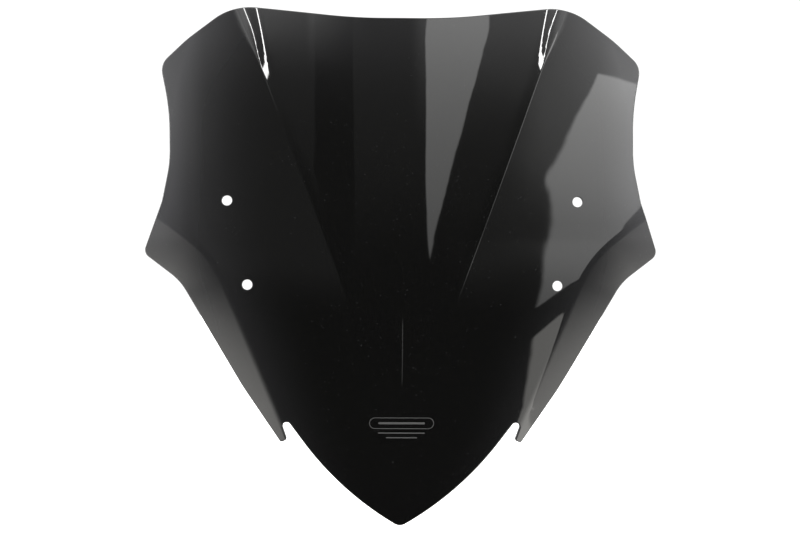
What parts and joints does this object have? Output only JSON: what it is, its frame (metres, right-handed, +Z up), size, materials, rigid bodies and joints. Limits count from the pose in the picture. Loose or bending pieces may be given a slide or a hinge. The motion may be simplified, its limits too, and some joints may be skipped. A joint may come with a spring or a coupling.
{
  "type": "motorcycle windshield screen",
  "caption": "Dark tinted motorcycle windshield screen with a raised centre, swept wings, notched lower edge and mounting holes.",
  "frame": {"origin": "centre of the pattern of mounting holes, at the mean depth of the seats' back faces", "axes": "+Z up as fitted in the picture's view, front of the screen faces -Y, +X is the rider's left; symmetric about X = 0"},
  "size_m": [0.3968, 0.0582, 0.4013],
  "materials": {
    "tinted_acrylic": "polished",
    "silver_ink": "satin"
  },
  "bodies": {
    "root": {"screen_sheet": "tinted_acrylic", "printed_emblem_ring": "silver_ink", "printed_emblem_bar": "silver_ink", "printed_rule_upper": "silver_ink", "printed_rule_lower": "silver_ink"}
  },
  "joints": []
}
